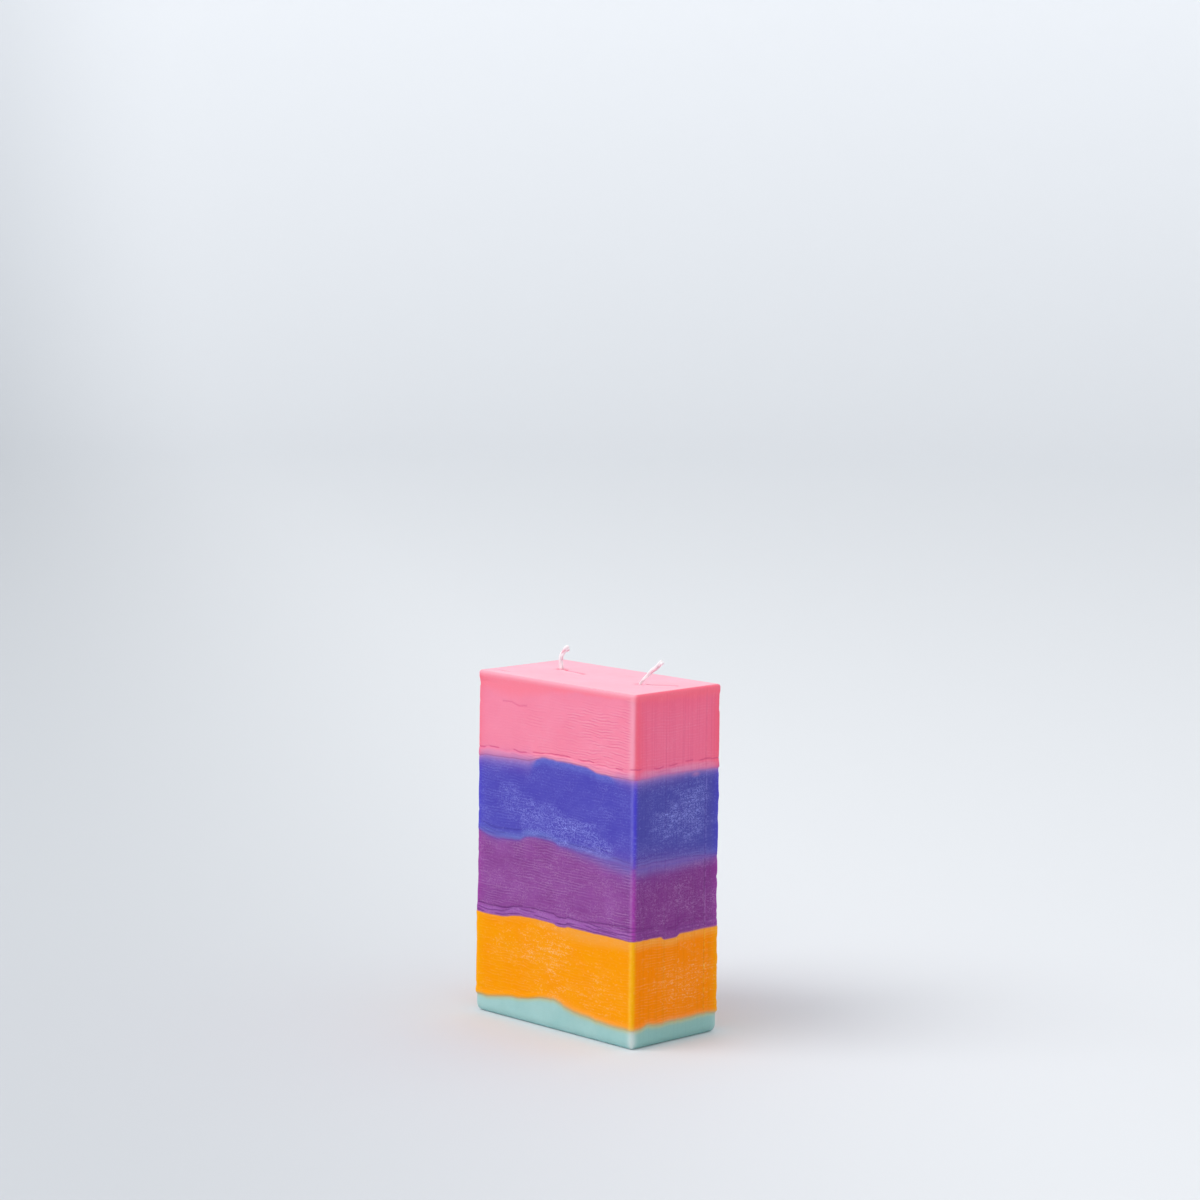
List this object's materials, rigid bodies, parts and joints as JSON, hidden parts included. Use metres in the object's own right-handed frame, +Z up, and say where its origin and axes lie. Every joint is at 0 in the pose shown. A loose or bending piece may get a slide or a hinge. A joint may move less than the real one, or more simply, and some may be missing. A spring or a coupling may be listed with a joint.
{
  "type": "two-wick block candle",
  "caption": "Rectangular block candle cast in stacked pours of coloured wax with wavy seams, and cotton wicks that stand bent from its top.",
  "frame": {"origin": "middle of the flat base, on the surface that the candle stands on", "axes": "+Z up, X along the length of the block, Y along its depth, the long front wall faces -Y"},
  "size_m": [0.0982, 0.0522, 0.1609],
  "materials": {
    "wax_mint": "satin cast paraffin wax, smooth and nearly opaque",
    "wax_orange": "satin cast paraffin wax with a pale bloom",
    "wax_purple": "satin cast paraffin wax with fine casting lines",
    "wax_blue": "satin cast paraffin wax with a pale bloom",
    "wax_pink": "satin cast paraffin wax with fine casting lines",
    "wick_cotton": "waxed braided cotton"
  },
  "bodies": {
    "root": {"mint_base_layer": "wax_mint", "orange_layer": "wax_orange", "purple_layer": "wax_purple", "blue_layer": "wax_blue", "pink_top_layer": "wax_pink", "left_wick": "wick_cotton", "right_wick": "wick_cotton"}
  },
  "joints": []
}
